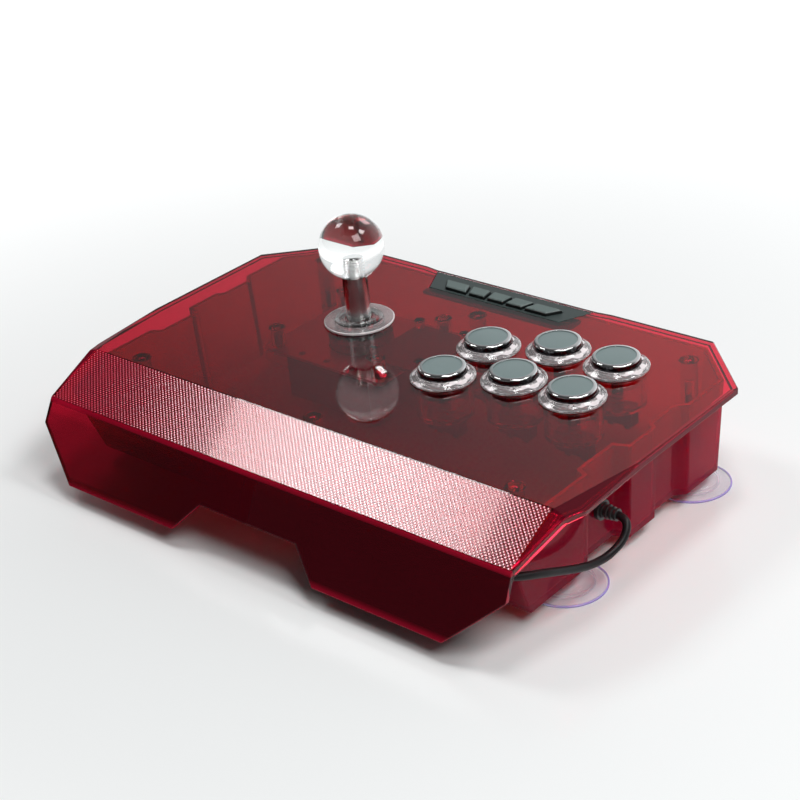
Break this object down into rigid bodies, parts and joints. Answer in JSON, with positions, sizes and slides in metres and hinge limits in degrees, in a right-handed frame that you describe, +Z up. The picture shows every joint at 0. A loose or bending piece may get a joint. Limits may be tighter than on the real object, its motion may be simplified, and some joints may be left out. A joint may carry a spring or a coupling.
{
  "type": "arcade stick",
  "caption": "Desktop arcade stick: see-through red case with palm slope, ball-top lever, round push buttons, function keys, suction-cup feet and a corded plug stored in a front channel.",
  "frame": {"origin": "on the resting surface, under the middle of the case", "axes": "+X to the player's right, +Y away from the player, +Z up"},
  "size_m": [0.3224, 0.225, 0.1207],
  "materials": {
    "red_clear": "polished, see-through red",
    "clear": "polished, clear",
    "clear_soft": "clear, soft",
    "steel": "zinc plated",
    "black_plastic": "moulded",
    "board": "circuit board",
    "soft_black": "satin",
    "silver": "silver, polished",
    "grey": "satin",
    "key_grey": "satin",
    "strip_grey": "satin"
  },
  "bodies": {
    "case": {"top_cover": "red_clear", "lower_case": "red_clear", "case_screws": "steel", "gimbal_pins": "steel", "pivot_housing": "black_plastic", "lever_plate": "steel", "lever_screws": "steel", "lever_gate": "black_plastic", "lever_switch_board": "board", "lever_switches": "black_plastic", "centring_grommet": "soft_black", "button_switches": "black_plastic", "function_strip": "strip_grey", "function_board": "board", "key_switches": "black_plastic", "main_board": "board", "cable_gland": "soft_black", "usb_cord": "soft_black", "cord_hank": "soft_black", "cord_tie": "soft_black", "usb_plug": "soft_black", "usb_shell": "steel", "suction_cup_rear_left": "clear_soft", "suction_cup_rear_right": "clear_soft", "suction_cup_front_left": "clear_soft", "suction_cup_front_right": "clear_soft", "button_housing_1": "clear", "button_housing_2": "clear", "button_housing_3": "clear", "button_housing_4": "clear", "button_housing_5": "clear", "button_housing_6": "clear"},
    "gimbal": {"gimbal_ring": "black_plastic", "cross_pin": "steel"},
    "lever": {"lever_shaft": "steel", "ball_top": "clear", "shaft_cover": "clear", "lever_actuator": "black_plastic", "retaining_clip": "steel"},
    "washer": {"dust_washer": "clear"},
    "collar": {"washer_collar": "clear"},
    "button_1": {"button_plunger_1": "silver", "button_inlay_1": "grey"},
    "button_2": {"button_plunger_2": "silver", "button_inlay_2": "grey"},
    "button_3": {"button_plunger_3": "silver", "button_inlay_3": "grey"},
    "button_4": {"button_plunger_4": "silver", "button_inlay_4": "grey"},
    "button_5": {"button_plunger_5": "silver", "button_inlay_5": "grey"},
    "button_6": {"button_plunger_6": "silver", "button_inlay_6": "grey"},
    "key_1": {"function_key_1": "key_grey"},
    "key_2": {"function_key_2": "key_grey"},
    "key_3": {"function_key_3": "key_grey"},
    "key_4": {"function_key_4": "key_grey"},
    "key_5": {"function_key_5": "key_grey"}
  },
  "joints": [
    {"name": "lever_fore_aft", "type": "hinge", "parent": "case", "child": "gimbal", "pos_m": [-0.0497, 0.03875, 0.046], "axis": [1, 0, 0], "range_deg": [-8, 8], "stiffness_Nm_per_rad": 0.4, "deforming": ["centring_grommet"]},
    {"name": "lever_side", "type": "hinge", "parent": "gimbal", "child": "lever", "pos_m": [-0.0497, 0.03875, 0.046], "axis": [0, 1, 0], "range_deg": [-8, 8], "stiffness_Nm_per_rad": 0.4, "deforming": ["centring_grommet"]},
    {"name": "washer_fore_aft", "type": "slide", "parent": "case", "child": "washer", "axis": [0, 1, 0], "range_m": [-0.0023, 0.0023]},
    {"name": "collar_side", "type": "slide", "parent": "washer", "child": "collar", "axis": [1, 0, 0], "range_m": [-0.0023, 0.0023]},
    {"name": "button_press_1", "type": "slide", "parent": "case", "child": "button_1", "axis": [0, 0, -1], "range_m": [0, 0.003], "stiffness_N_per_m": 200, "springref_m": -0.002},
    {"name": "button_press_2", "type": "slide", "parent": "case", "child": "button_2", "axis": [0, 0, -1], "range_m": [0, 0.003], "stiffness_N_per_m": 200, "springref_m": -0.002},
    {"name": "button_press_3", "type": "slide", "parent": "case", "child": "button_3", "axis": [0, 0, -1], "range_m": [0, 0.003], "stiffness_N_per_m": 200, "springref_m": -0.002},
    {"name": "button_press_4", "type": "slide", "parent": "case", "child": "button_4", "axis": [0, 0, -1], "range_m": [0, 0.003], "stiffness_N_per_m": 200, "springref_m": -0.002},
    {"name": "button_press_5", "type": "slide", "parent": "case", "child": "button_5", "axis": [0, 0, -1], "range_m": [0, 0.003], "stiffness_N_per_m": 200, "springref_m": -0.002},
    {"name": "button_press_6", "type": "slide", "parent": "case", "child": "button_6", "axis": [0, 0, -1], "range_m": [0, 0.003], "stiffness_N_per_m": 200, "springref_m": -0.002},
    {"name": "key_press_1", "type": "slide", "parent": "case", "child": "key_1", "axis": [0, 0, -1], "range_m": [0, 0.0007], "stiffness_N_per_m": 800, "springref_m": -0.0008},
    {"name": "key_press_2", "type": "slide", "parent": "case", "child": "key_2", "axis": [0, 0, -1], "range_m": [0, 0.0007], "stiffness_N_per_m": 800, "springref_m": -0.0008},
    {"name": "key_press_3", "type": "slide", "parent": "case", "child": "key_3", "axis": [0, 0, -1], "range_m": [0, 0.0007], "stiffness_N_per_m": 800, "springref_m": -0.0008},
    {"name": "key_press_4", "type": "slide", "parent": "case", "child": "key_4", "axis": [0, 0, -1], "range_m": [0, 0.0007], "stiffness_N_per_m": 800, "springref_m": -0.0008},
    {"name": "key_press_5", "type": "slide", "parent": "case", "child": "key_5", "axis": [0, 0, -1], "range_m": [0, 0.0007], "stiffness_N_per_m": 800, "springref_m": -0.0008}
  ],
  "couplings": [
    {"joint": "washer_fore_aft", "follows": "lever_fore_aft", "m_per_rad": -0.0156},
    {"joint": "collar_side", "follows": "lever_side", "m_per_rad": 0.0156}
  ]
}
